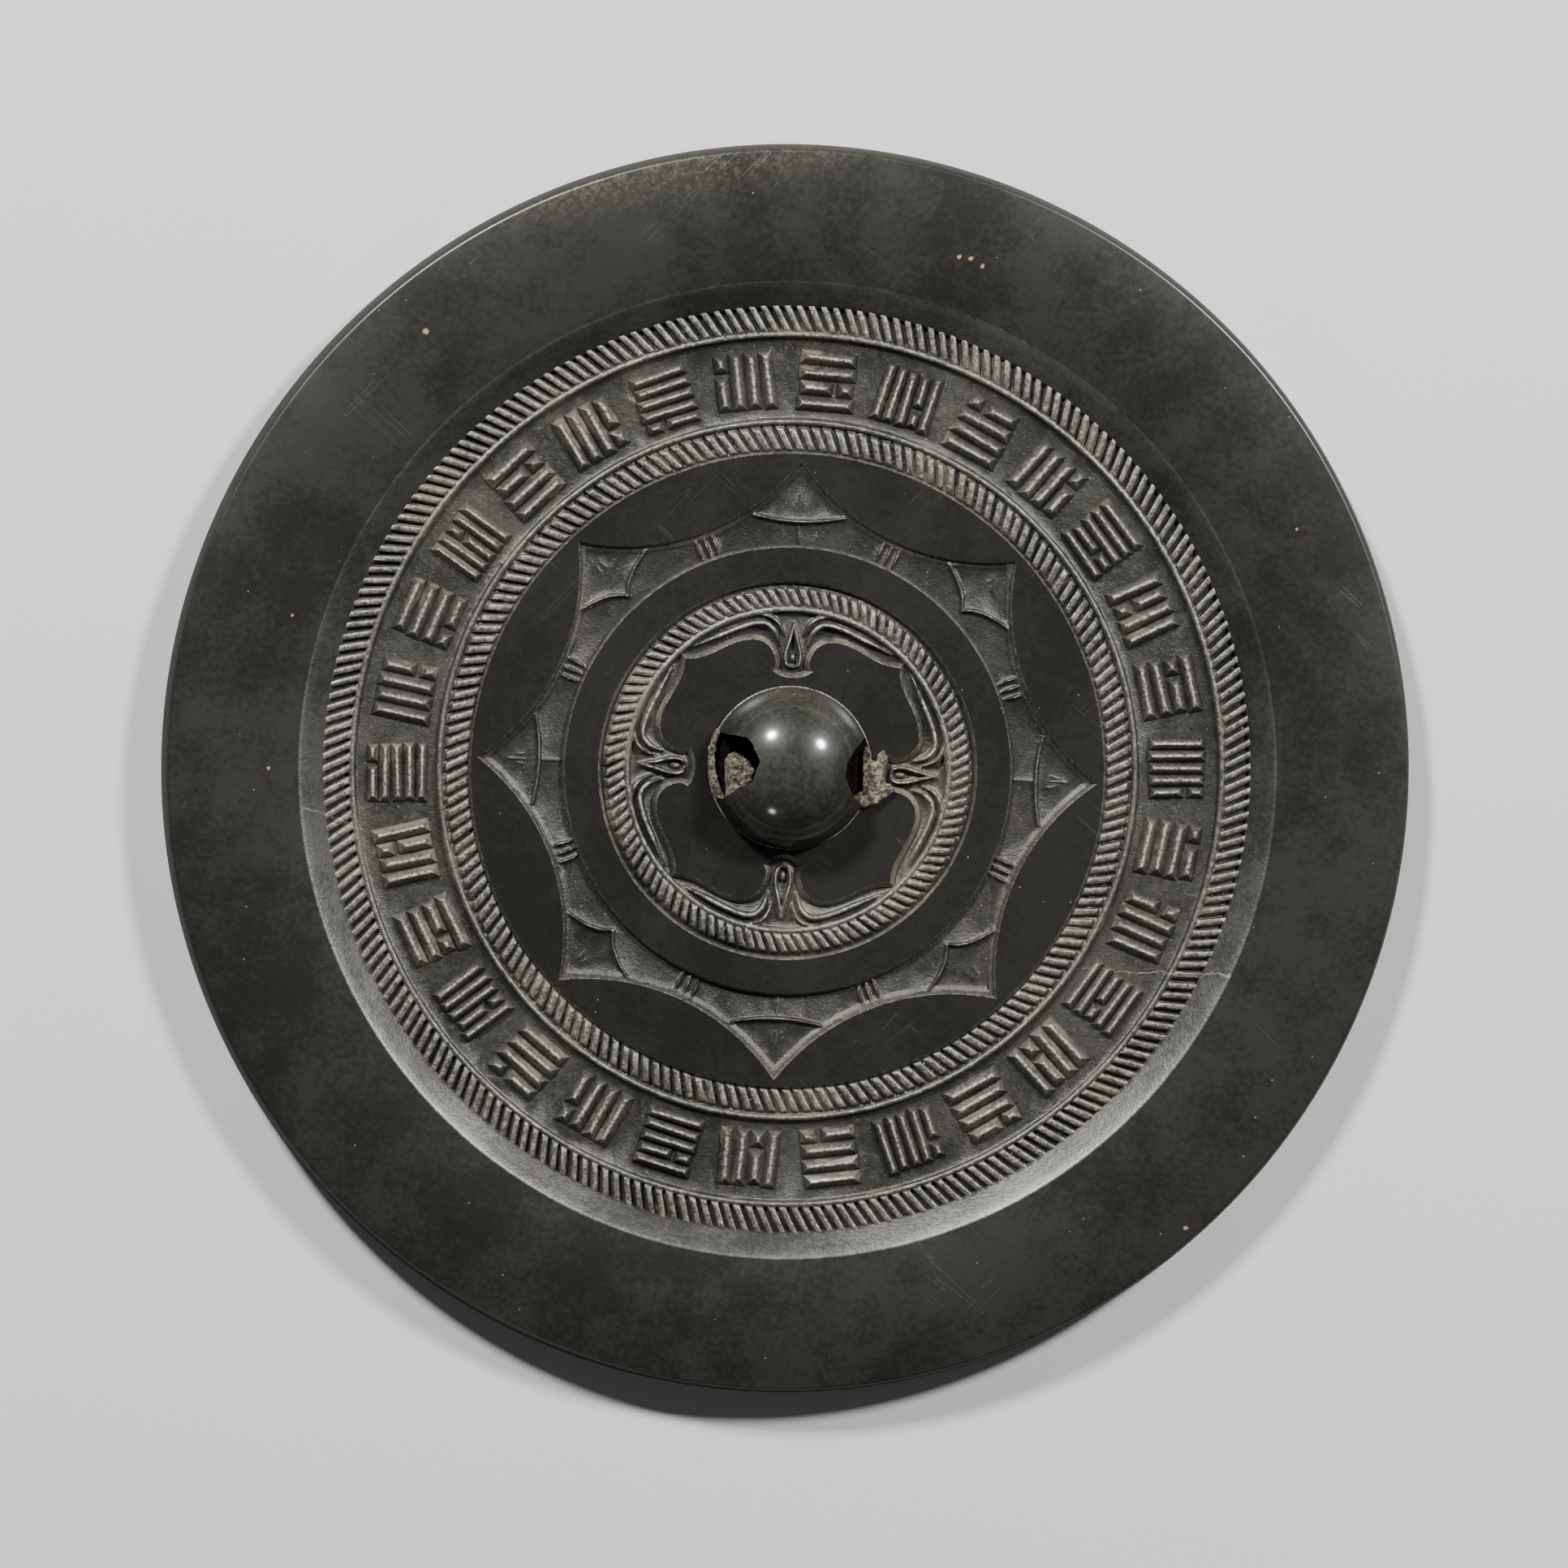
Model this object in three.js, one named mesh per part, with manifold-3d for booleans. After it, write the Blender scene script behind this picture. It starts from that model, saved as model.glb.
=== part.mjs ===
// A cast bronze mirror lying on its polished face, with the decorated back up.
// Millimetres, +Z up. The origin is the centre of the polished face.
// From the edge inwards the back has a wide plain rim, a comb-tooth ring, a fine ridge, a band of
// worn strokes, a fine ridge, a comb-tooth ring, eight linked arcs, a plain ring, a comb-tooth ring,
// a fine ridge, a four-petalled flat with scrolls between its petals, and a pierced knob.
import * as THREE from 'three';
import { mergeGeometries, mergeVertices } from 'three/addons/utils/BufferGeometryUtils.js';
import Module from 'manifold-3d';

// Radii and heights of the disc
const faceRadius = 77.4;
const rimTopRadius = 76.6;
const rimInnerRadius = 60.5;
const edgeBreak = 0.35;
const rimHeight = 5.6;
const groundHeight = 2.6;
const flatHeight = 3.4;
const wallSlope = 0.2;

// Comb-tooth rings. Their outer ends lean anticlockwise by the slant.
const outerComb = { outer: 57.4, inner: 54.1, teeth: 241, slant: 25.4 };
const middleComb = { outer: 42.7, inner: 39.75, teeth: 180, slant: 25.2 };
const innerComb = { outer: 22.9, inner: 20.25, teeth: 106, slant: 27.1 };
const toothHeight = 0.68;
const toothHip = 0.35;

// Fine ridges, by the radius of their crest
const outerRidge = 53.78;
const bandRidge = 43.05;
const leafRidge = 19.9;
const ridgeHalfWidth = 0.42;
const ridgeHeight = 0.62;

// Eight linked arcs, and the plain ring inside them
const arcCount = 8;
const arcField = { outer: 39.5, tip: 37.8, crest: 30.9, steps: 9 };
const plainRing = { outer: 27.9, inner: 23.4 };

// Band of strokes
const cellCount = 30;
const cellRadius = 48.2;
const cellSize = 7.6;
const cellTurn = (2.8 * Math.PI) / 180;
const bar = { height: 0.9, hip: 0.8, gap: 0.2, notch: 0.14 };
const slimBar = 1.75;
const wideBar = 2.3;

// Petals, scrolls and drops
const petalCount = 4;
const petalSteps = 3;
const scroll = { width: 0.85, height: 0.5 };
const drop = { tip: 18.2, end: 13.2, belly: 14.2, width: 1.8, height: 0.65 };

// Knob and its cord hole, which runs along X
const knob = { radius: 10, height: 8.6, sides: 28, rings: 6 };
const cordHole = { width: 8.6, height: 5.6, floor: 0.3, steps: 8 };

// Roundness of the circles
const rimSides = 96;
const ringSides = 72;
const leafSides = 60;

const buried = 1.2;
const degree = Math.PI / 180;

const wasm = await Module();
wasm.setup();

// Corners on a circle round the axis, anticlockwise.
function circle(radius, height, sides) {
  return Array.from({ length: sides }, (_, k) => {
    const angle = (2 * Math.PI * k) / sides;
    return new THREE.Vector3(radius * Math.cos(angle), radius * Math.sin(angle), height);
  });
}

// An open surface from its corners and triangles, which list their corners anticlockwise from outside.
function surface(corners, triangles) {
  const geometry = new THREE.BufferGeometry().setFromPoints(corners);
  geometry.setIndex(triangles.flat());
  return geometry;
}

// The level surface inside a closed loop, less what an inner loop encloses.
function level(outer, inner = []) {
  const plan = (loop) => loop.map((point) => new THREE.Vector2(point.x, point.y));
  const holes = inner.length > 0 ? [plan(inner)] : [];
  const triangles = THREE.ShapeUtils.triangulateShape(plan(outer), holes);
  const corners = [...outer, ...inner];
  const faceUp = triangles.map(([a, b, c]) => {
    const ab = corners[b].clone().sub(corners[a]);
    const ac = corners[c].clone().sub(corners[a]);
    return ab.x * ac.y - ab.y * ac.x > 0 ? [a, b, c] : [a, c, b];
  });
  return surface(corners, faceUp);
}

// The sloping surface between two closed loops, the inner one inside the outer from above. It steps
// along whichever loop leaves the shorter crossing line, so the slope stays even all round.
function slope(outer, inner) {
  const reach = inner.map((point) => point.distanceTo(outer[0]));
  const first = reach.indexOf(Math.min(...reach));
  const outerAt = (k) => k % outer.length;
  const innerAt = (k) => (first + k) % inner.length;
  const triangles = [];
  let i = 0;
  let j = 0;
  while (i < outer.length || j < inner.length) {
    const stepOuter = outer[outerAt(i + 1)].distanceTo(inner[innerAt(j)]);
    const stepInner = outer[outerAt(i)].distanceTo(inner[innerAt(j + 1)]);
    const here = [outerAt(i), outer.length + innerAt(j)];
    if (j === inner.length || (i < outer.length && stepOuter <= stepInner)) {
      triangles.push([here[1], here[0], outerAt(i + 1)]);
      i += 1;
    } else {
      triangles.push([here[0], outer.length + innerAt(j + 1), here[1]]);
      j += 1;
    }
  }
  return surface([...outer, ...inner], triangles);
}

// A ring of leaning roof-shaped teeth. Neighbours share the valley between them, and the valleys' ends
// are the loops that the surfaces on either side take up.
function comb({ outer, inner, teeth, slant }) {
  const middle = (outer + inner) / 2;
  const lean = Math.tan(slant * degree) / middle;
  const at = (radius, step, height) => {
    const angle = (2 * Math.PI * step) / teeth + lean * (radius - middle);
    return new THREE.Vector3(radius * Math.cos(angle), radius * Math.sin(angle), height);
  };
  const innerLoop = [];
  const outerLoop = [];
  const crests = [];
  const triangles = [];
  for (let k = 0; k < teeth; k += 1) {
    const next = (k + 1) % teeth;
    innerLoop.push(at(inner, k, groundHeight));
    outerLoop.push(at(outer, k, groundHeight));
    crests.push(at(inner + toothHip, k + 0.5, groundHeight + toothHeight));
    crests.push(at(outer - toothHip, k + 0.5, groundHeight + toothHeight));
    const innerHere = k;
    const innerNext = next;
    const outerHere = teeth + k;
    const outerNext = teeth + next;
    const crestIn = 2 * teeth + 2 * k;
    const crestOut = crestIn + 1;
    triangles.push([innerHere, outerHere, crestIn], [crestIn, outerHere, crestOut]);
    triangles.push([crestIn, crestOut, innerNext], [crestOut, outerNext, innerNext]);
    triangles.push([innerHere, crestIn, innerNext], [outerHere, outerNext, crestOut]);
  }
  return { teeth: surface([...innerLoop, ...outerLoop, ...crests], triangles), innerLoop, outerLoop };
}

// The line of the linked arcs: each arc bows towards the knob between two outward tips.
function arcLine(inset, height) {
  const tip = arcField.tip - inset;
  const crest = arcField.crest - inset;
  const half = Math.PI / arcCount;
  const halfChord = tip * Math.sin(half);
  const bow = tip * Math.cos(half) - crest;
  const bend = (halfChord ** 2 + bow ** 2) / (2 * bow);
  const sweep = Math.asin(halfChord / bend);
  const line = [];
  for (let arc = 0; arc < arcCount; arc += 1) {
    const turn = (2 * arc + 1) * half;
    for (let step = 0; step < arcField.steps; step += 1) {
      const swing = sweep * (1 - (2 * step) / arcField.steps);
      const along = crest + bend - bend * Math.cos(swing);
      const across = -bend * Math.sin(swing);
      const x = along * Math.cos(turn) - across * Math.sin(turn);
      const y = along * Math.sin(turn) + across * Math.cos(turn);
      line.push(new THREE.Vector3(x, y, height));
    }
  }
  return line;
}

// Half of the outline between two petals, from the petals' shared tip in to the foot of the leaf on +Y.
function petalEdge(grow) {
  const edge = new THREE.Path();
  edge.moveTo(13.3 + grow, 13.3 + grow);
  edge.bezierCurveTo(10.2, 13.1 + grow, 8, 16 + grow, 5, 16.05 + grow);
  edge.bezierCurveTo(3.4 - grow, 16.1 + grow, 2.3 - grow, 15, 2.05 - grow, 13.4);
  edge.quadraticCurveTo(1.95 - grow, 12.9, 2.45 - grow, 12.3 + grow);
  edge.quadraticCurveTo(1.6 - grow, 11.55 + grow, 0, 11.5 + grow);
  return edge.getPoints(petalSteps);
}

// The whole outline of the four petals, anticlockwise.
function petalLine(grow, height) {
  const half = petalEdge(grow);
  const mirrored = half.map((point) => new THREE.Vector2(-point.x, point.y)).reverse();
  const quarter = [...half.slice(0, -1), ...mirrored.slice(0, -1)];
  const line = [];
  for (let petal = 0; petal < petalCount; petal += 1) {
    for (const point of quarter) {
      const turned = point.clone().rotateAround(new THREE.Vector2(), (petal * Math.PI) / 2);
      line.push(new THREE.Vector3(turned.x, turned.y, height));
    }
  }
  return line;
}

// The disc with everything that stands up from it in rings, as one closed surface.
function castDisc() {
  const teethOuter = comb(outerComb);
  const teethMiddle = comb(middleComb);
  const teethInner = comb(innerComb);
  const edge = [
    [0, 0],
    [faceRadius, 0],
    [rimTopRadius + edgeBreak / 2, rimHeight - edgeBreak],
    [rimTopRadius - edgeBreak / 2, rimHeight],
    [rimInnerRadius, rimHeight],
  ];
  const profile = edge.map(([radius, height]) => new THREE.Vector2(radius, height));
  const shell = new THREE.LatheGeometry(profile, rimSides).rotateX(Math.PI / 2);
  shell.deleteAttribute('normal');
  shell.deleteAttribute('uv');

  const ridgeTop = groundHeight + ridgeHeight;
  const outerCrest = circle(outerRidge, ridgeTop, ringSides);
  const bandOuterFoot = circle(outerRidge - ridgeHalfWidth, groundHeight, ringSides);
  const bandInnerFoot = circle(bandRidge + ridgeHalfWidth, groundHeight, ringSides);
  const bandCrest = circle(bandRidge, ridgeTop, ringSides);
  const leafCrest = circle(leafRidge, ridgeTop, leafSides);
  const leafFoot = circle(leafRidge - ridgeHalfWidth, groundHeight, leafSides);
  const arcOuter = circle(arcField.outer, flatHeight, ringSides);
  const arcInner = arcLine(0, flatHeight);
  const starGround = arcLine(wallSlope, groundHeight);
  const ringOuterFoot = circle(plainRing.outer + wallSlope, groundHeight, ringSides);
  const ringOuter = circle(plainRing.outer, flatHeight, ringSides);
  const ringInner = circle(plainRing.inner, flatHeight, ringSides);
  const petalFoot = petalLine(wallSlope, groundHeight);
  const petalTop = petalLine(0, flatHeight);

  const sheets = [
    shell,
    slope(circle(rimInnerRadius, rimHeight, rimSides), teethOuter.outerLoop),
    teethOuter.teeth,
    slope(teethOuter.innerLoop, outerCrest),
    slope(outerCrest, bandOuterFoot),
    level(bandOuterFoot, bandInnerFoot),
    slope(bandInnerFoot, bandCrest),
    slope(bandCrest, teethMiddle.outerLoop),
    teethMiddle.teeth,
    slope(teethMiddle.innerLoop, arcOuter),
    level(arcOuter, arcInner),
    slope(arcInner, starGround),
    level(starGround, ringOuterFoot),
    slope(ringOuterFoot, ringOuter),
    level(ringOuter, ringInner),
    slope(ringInner, teethInner.outerLoop),
    teethInner.teeth,
    slope(teethInner.innerLoop, leafCrest),
    slope(leafCrest, leafFoot),
    level(leafFoot, petalFoot),
    slope(petalFoot, petalTop),
    level(petalTop),
  ];
  return mergeGeometries(sheets);
}

// A hipped bar, lying along X with its base at height 0.
function hippedBar(length, { width, height, hip }) {
  const block = new THREE.BoxGeometry(length, width, height + buried);
  block.translate(0, 0, (height - buried) / 2);
  const corners = block.getAttribute('position');
  for (let i = 0; i < corners.count; i += 1) {
    if (corners.getZ(i) > 0) {
      corners.setX(i, Math.sign(corners.getX(i)) * (length / 2 - hip));
      corners.setY(i, 0);
    }
  }
  return block;
}

// The bars of one cell of the stroke band: parallel rows, one of them broken by a notch. Cells take turns
// in their number of rows, their direction and the place of the notch.
function cellBars(cell) {
  const rows = cell % 3 === 0 ? 4 : 3;
  const width = rows === 4 ? slimBar : wideBar;
  const pitch = (cellSize - width) / (rows - 1);
  const side = cell % 4 < 2 ? 1 : -1;
  const brokenRow = (cell % 5) % rows;
  const notch = side * cellSize * bar.notch;
  const shape = { ...bar, width };
  const bars = [];
  for (let row = 0; row < rows; row += 1) {
    const across = (row - (rows - 1) / 2) * pitch;
    const ends = row === brokenRow ? [-cellSize / 2, notch, cellSize / 2] : [-cellSize / 2, cellSize / 2];
    for (let i = 1; i < ends.length; i += 1) {
      const piece = hippedBar(ends[i] - ends[i - 1] - bar.gap, shape);
      piece.translate((ends[i] + ends[i - 1]) / 2, across, 0);
      bars.push(piece);
    }
  }
  const turn = cell % 2 === 0 ? 0 : Math.PI / 2;
  const angle = (2 * Math.PI * cell) / cellCount + cellTurn;
  return bars.map((piece) => piece.rotateZ(turn).translate(cellRadius, 0, groundHeight).rotateZ(angle));
}

// A raised line along a plan curve, roof-shaped and running out at both ends.
function raisedLine(curve, steps) {
  const points = curve.getPoints(steps);
  const corners = [];
  const triangles = [];
  points.forEach((point, k) => {
    const heading = curve.getTangent(k / steps);
    const side = new THREE.Vector2(-heading.y, heading.x).multiplyScalar(scroll.width / 2);
    const end = k === 0 || k === steps;
    const spread = end ? 0.35 : 1;
    const rise = end ? 0.1 : scroll.height;
    const left = point.clone().addScaledVector(side, spread);
    const right = point.clone().addScaledVector(side, -spread);
    corners.push(new THREE.Vector3(left.x, left.y, groundHeight - buried));
    corners.push(new THREE.Vector3(right.x, right.y, groundHeight - buried));
    corners.push(new THREE.Vector3(point.x, point.y, groundHeight + rise));
  });
  for (let k = 0; k < steps; k += 1) {
    for (let side = 0; side < 3; side += 1) {
      const here = 3 * k + side;
      const next = 3 * k + ((side + 1) % 3);
      triangles.push([here, here + 3, next], [next, here + 3, next + 3]);
    }
  }
  triangles.push([0, 1, 2], [3 * steps, 3 * steps + 2, 3 * steps + 1]);
  return surface(corners, triangles);
}

// Scrolls and drop of the leaf on +Y: a long and a short raised line on each side of a drop.
function leaf() {
  const long = new THREE.CubicBezierCurve(
    new THREE.Vector2(12.6, 14.3),
    new THREE.Vector2(9, 16.6),
    new THREE.Vector2(3.4, 19),
    new THREE.Vector2(1.6, 15.9),
  );
  const short = new THREE.QuadraticBezierCurve(
    new THREE.Vector2(4.2, 18.5),
    new THREE.Vector2(1.9, 18.4),
    new THREE.Vector2(1.15, 16.6),
  );
  const lines = [long, otherSide(long)].map((curve) => raisedLine(curve, 6));
  const shortLines = [short, otherSide(short)].map((curve) => raisedLine(curve, 3));
  return [...lines, ...shortLines, tearDrop()];
}

// The same plan curve on the other side of the Y axis.
function otherSide(curve) {
  const copy = curve.clone();
  for (const key of ['v0', 'v1', 'v2', 'v3']) {
    if (copy[key]) {
      copy[key].x *= -1;
    }
  }
  return copy;
}

// A drop with its round end towards the knob and its point outwards.
function tearDrop() {
  const outline = new THREE.Shape();
  outline.moveTo(0, drop.tip);
  outline.quadraticCurveTo(-drop.width / 3, drop.belly + 2, -drop.width / 2, drop.belly);
  outline.quadraticCurveTo(-drop.width / 2, drop.end, 0, drop.end);
  outline.quadraticCurveTo(drop.width / 2, drop.end, drop.width / 2, drop.belly);
  outline.quadraticCurveTo(drop.width / 3, drop.belly + 2, 0, drop.tip);
  const plan = outline.getPoints(2).slice(0, -1);
  const low = plan.map((point) => new THREE.Vector3(point.x, point.y, groundHeight - buried));
  const count = plan.length;
  const corners = [...low, new THREE.Vector3(0, drop.belly, groundHeight + drop.height)];
  const triangles = plan.map((_, k) => [k, (k + 1) % count, count]);
  const base = level(low);
  const under = base.getIndex().array;
  for (let i = 0; i < under.length; i += 3) {
    triangles.push([under[i], under[i + 2], under[i + 1]]);
  }
  return surface(corners, triangles);
}

// The dome of the knob, reaching down into the disc.
function knobDome() {
  const profile = [new THREE.Vector2(0, groundHeight - buried), new THREE.Vector2(knob.radius, groundHeight - buried)];
  for (let ring = 0; ring <= knob.rings; ring += 1) {
    const lift = (Math.PI / 2) * (ring / knob.rings);
    const radius = ring === knob.rings ? 0 : knob.radius * Math.cos(lift);
    profile.push(new THREE.Vector2(radius, flatHeight + knob.height * Math.sin(lift)));
  }
  return new THREE.LatheGeometry(profile, knob.sides).rotateX(Math.PI / 2);
}

// The arched tunnel for the cord, along X through the whole knob.
function tunnel() {
  const low = flatHeight + cordHole.floor;
  const arch = new THREE.Shape();
  for (let step = 0; step <= cordHole.steps; step += 1) {
    const angle = (Math.PI * step) / cordHole.steps;
    arch.lineTo((cordHole.width / 2) * Math.cos(angle), low + cordHole.height * Math.sin(angle));
  }
  const length = 2 * knob.radius + 4;
  const prism = new THREE.ExtrudeGeometry(arch, { depth: length, bevelEnabled: false });
  return prism.translate(0, 0, -length / 2).rotateX(Math.PI / 2).rotateZ(Math.PI / 2);
}

// The left mouth of the tunnel, where the roof over the cord has worn and broken away.
function brokenMouth() {
  const outline = new THREE.Shape();
  outline.moveTo(-12, 4.5);
  outline.lineTo(-12, -4.8);
  outline.lineTo(-8.7, -4.8);
  outline.lineTo(-6.4, -2.6);
  outline.lineTo(-4.8, -1.5);
  outline.lineTo(-4.1, 1.1);
  outline.lineTo(-5.6, 3.7);
  const prism = new THREE.ExtrudeGeometry(outline, { depth: knob.height, bevelEnabled: false });
  return prism.translate(0, 0, flatHeight + cordHole.height / 2);
}

// A closed geometry as a solid that can be joined and cut. Facets that the merge closes up are left out.
function solid(geometry) {
  for (const name of Object.keys(geometry.attributes)) {
    if (name !== 'position') {
      geometry.deleteAttribute(name);
    }
  }
  const merged = mergeVertices(geometry);
  const index = merged.getIndex().array;
  const triVerts = [];
  for (let i = 0; i < index.length; i += 3) {
    const [a, b, c] = index.slice(i, i + 3);
    if (a !== b && b !== c && c !== a) {
      triVerts.push(a, b, c);
    }
  }
  const vertProperties = new Float32Array(merged.getAttribute('position').array);
  return new wasm.Manifold(new wasm.Mesh({ numProp: 3, vertProperties, triVerts: new Uint32Array(triVerts) }));
}

// A solid back as a geometry with flat facets.
function geometryOf(body) {
  const { vertProperties, triVerts } = body.getMesh();
  const geometry = new THREE.BufferGeometry();
  geometry.setAttribute('position', new THREE.BufferAttribute(vertProperties, 3));
  geometry.setIndex(new THREE.BufferAttribute(triVerts, 1));
  const facets = geometry.toNonIndexed();
  facets.computeVertexNormals();
  return facets;
}

const raised = [];
for (let cell = 0; cell < cellCount; cell += 1) {
  raised.push(...cellBars(cell));
}
for (let petal = 0; petal < petalCount; petal += 1) {
  raised.push(...leaf().map((piece) => piece.rotateZ((petal * Math.PI) / 2)));
}
const pierced = solid(knobDome()).subtract(solid(tunnel())).subtract(solid(brokenMouth()));
let casting = solid(castDisc());
for (const piece of raised) {
  casting = casting.add(solid(piece));
}
casting = casting.add(pierced);

const bronze = new THREE.MeshStandardMaterial({ color: 0x3a382f, roughness: 0.38, metalness: 0.9 });
const mirrorBody = new THREE.Mesh(geometryOf(casting), bronze);
mirrorBody.name = 'mirror';

const group = new THREE.Group();
group.add(mirrorBody);

export default group;
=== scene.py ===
import math
import random

import bpy
from mathutils import Matrix, Vector


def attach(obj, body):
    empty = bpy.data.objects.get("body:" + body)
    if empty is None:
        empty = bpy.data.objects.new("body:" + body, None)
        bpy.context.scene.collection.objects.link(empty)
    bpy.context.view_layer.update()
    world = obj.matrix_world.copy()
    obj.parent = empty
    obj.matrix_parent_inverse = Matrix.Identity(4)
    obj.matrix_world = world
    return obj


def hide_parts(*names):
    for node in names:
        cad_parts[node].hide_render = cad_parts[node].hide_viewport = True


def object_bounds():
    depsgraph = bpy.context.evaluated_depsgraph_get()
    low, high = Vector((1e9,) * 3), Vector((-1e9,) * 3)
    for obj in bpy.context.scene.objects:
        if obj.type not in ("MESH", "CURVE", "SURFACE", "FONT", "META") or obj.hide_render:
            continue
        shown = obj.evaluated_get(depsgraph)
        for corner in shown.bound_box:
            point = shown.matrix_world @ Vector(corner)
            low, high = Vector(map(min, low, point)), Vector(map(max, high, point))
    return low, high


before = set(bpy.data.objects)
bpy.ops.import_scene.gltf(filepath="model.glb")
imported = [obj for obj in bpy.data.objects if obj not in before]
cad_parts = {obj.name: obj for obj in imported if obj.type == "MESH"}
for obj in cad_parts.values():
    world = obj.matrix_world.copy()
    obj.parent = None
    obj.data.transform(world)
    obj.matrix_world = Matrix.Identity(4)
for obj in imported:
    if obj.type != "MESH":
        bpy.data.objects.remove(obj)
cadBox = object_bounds()
print("frame loaded:", sorted(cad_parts))

# Everything is modelled in millimetres, and brought to metres when a piece is finished.
mm = 0.001


def clearSelection():
    if bpy.context.mode != "OBJECT":
        bpy.ops.object.mode_set(mode="OBJECT")
    bpy.ops.object.select_all(action="DESELECT")


def take(piece, *others):
    clearSelection()
    for one in (piece, *others):
        one.select_set(True)
    bpy.context.view_layer.objects.active = piece
    return piece


def settle(piece):
    take(piece)
    bpy.ops.object.transform_apply(location=True, rotation=True, scale=True)
    return piece


def useModifier(piece, kind, **values):
    take(piece)
    modifier = piece.modifiers.new(kind.title(), kind)
    for name, value in values.items():
        setattr(modifier, name, value)
    bpy.ops.object.modifier_apply(modifier=modifier.name)
    return piece


def joined(pieces, name):
    take(*pieces)
    bpy.ops.object.join()
    pieces[0].name = name
    pieces[0].data.name = name
    return pieces[0]


def addCopy(model, location, turn=0, size=(1, 1, 1)):
    copy = model.copy()
    copy.data = model.data.copy()  # each copy has its own mesh
    copy.location = location
    copy.rotation_euler = (0, 0, turn)
    copy.scale = size
    bpy.context.collection.objects.link(copy)
    return copy


def editFaces(piece, rule):
    # go into edit mode with only the faces that the rule takes
    take(piece)
    bpy.ops.object.mode_set(mode="EDIT")
    bpy.ops.mesh.select_mode(type="FACE")
    bpy.ops.mesh.select_all(action="DESELECT")
    bpy.ops.object.mode_set(mode="OBJECT")
    for face in piece.data.polygons:
        face.select = rule(face)
    bpy.ops.object.mode_set(mode="EDIT")


def cutOrJoin(piece, other, operation):
    # cut or join with another piece, which is used up
    useModifier(piece, "BOOLEAN", operation=operation, object=other, solver="MANIFOLD",
                material_mode="TRANSFER")
    bpy.data.objects.remove(other)
    return piece


def roughen(piece, scale, strength, detail=3):
    # pushes the surface in and out in cloudy lumps
    clouds = bpy.data.textures.new("clouds", "CLOUDS")
    clouds.noise_scale = scale
    clouds.noise_depth = detail
    useModifier(piece, "DISPLACE", texture=clouds, strength=strength, mid_level=0.5, texture_coords="LOCAL")


def refine(piece):
    # cuts every face into smaller triangles
    editFaces(piece, lambda face: True)
    bpy.ops.mesh.quads_convert_to_tris()
    bpy.ops.mesh.subdivide(number_cuts=1)
    bpy.ops.object.mode_set(mode="OBJECT")


def cutBelow(piece, height):
    # takes away what lies lower, and closes the cut
    editFaces(piece, lambda face: True)
    bpy.ops.mesh.bisect(plane_co=(0, 0, height), plane_no=(0, 0, 1), use_fill=True, clear_inner=True)
    bpy.ops.object.mode_set(mode="OBJECT")


def makePrism(corners, low, high, lean=(0, 0), share=1):
    # an upright block over an outline, whose top may lean aside and shrink to a share
    bpy.ops.mesh.primitive_circle_add(vertices=len(corners), fill_type="NGON", location=(0, 0, low))
    prism = settle(bpy.context.object)
    for corner, place in zip(prism.data.vertices, corners):
        corner.co = (*place, low)
    editFaces(prism, lambda face: True)
    bpy.ops.mesh.extrude_region_move(TRANSFORM_OT_translate={"value": (*lean, high - low)})
    if share != 1:
        centre = [sum(place[axis] for place in corners) / len(corners) for axis in (0, 1)]
        bpy.ops.transform.resize(value=(share, share, 1), center_override=(*centre, high))
    bpy.ops.mesh.select_all(action="SELECT")
    bpy.ops.mesh.normals_make_consistent(inside=False)
    bpy.ops.object.mode_set(mode="OBJECT")
    return prism


def onCircle(radius, angle, height=0):
    return Vector((radius * math.cos(angle), radius * math.sin(angle), height))


# shared levels of the back, above the polished face
levels = {"rim": 5.6, "flat": 3.4, "ground": 2.6, "buried": 1.9, "knobTop": cadBox[1][2] / mm}

disc = {
    "faceRadius": cadBox[1][0] / mm,
    "rimTop": 76.6,
    "slope": ((60.4, 5.6), (60.2, 5.54), (59.95, 5.4), (59.1, 4.72), (58.3, 4.07), (57.6, 3.5), (57.2, 3.15),
              (57.0, 2.5), (56.9, 1.5)),
    "sides": 256,
    "edgeRound": 0.42,
}


def makeDisc():
    # the plain disc: polished face, side, wide rim and the hollowed slope down to the decorated ground
    bpy.ops.mesh.primitive_cylinder_add(
        vertices=disc["sides"], radius=disc["faceRadius"], depth=levels["rim"],
        location=(0, 0, levels["rim"] / 2))
    body = bpy.context.object
    settle(body)
    editFaces(body, lambda face: face.normal.z > 0.9)
    radius = disc["faceRadius"]
    height = levels["rim"]

    def scaleTo(newRadius):
        share = newRadius / radius
        bpy.ops.transform.resize(value=(share, share, 1), center_override=(0, 0, height))
        return newRadius

    radius = scaleTo(disc["rimTop"])
    for nextRadius, nextHeight in disc["slope"]:
        bpy.ops.mesh.extrude_region_move(TRANSFORM_OT_translate={"value": (0, 0, nextHeight - height)})
        height = nextHeight
        radius = scaleTo(nextRadius)
    bpy.ops.object.mode_set(mode="OBJECT")
    useModifier(body, "BEVEL", width=disc["edgeRound"], segments=3, limit_method="ANGLE",
                angle_limit=math.radians(35))
    body.name = "mirror-casting"
    body.data.name = "mirror-casting"
    return body


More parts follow.
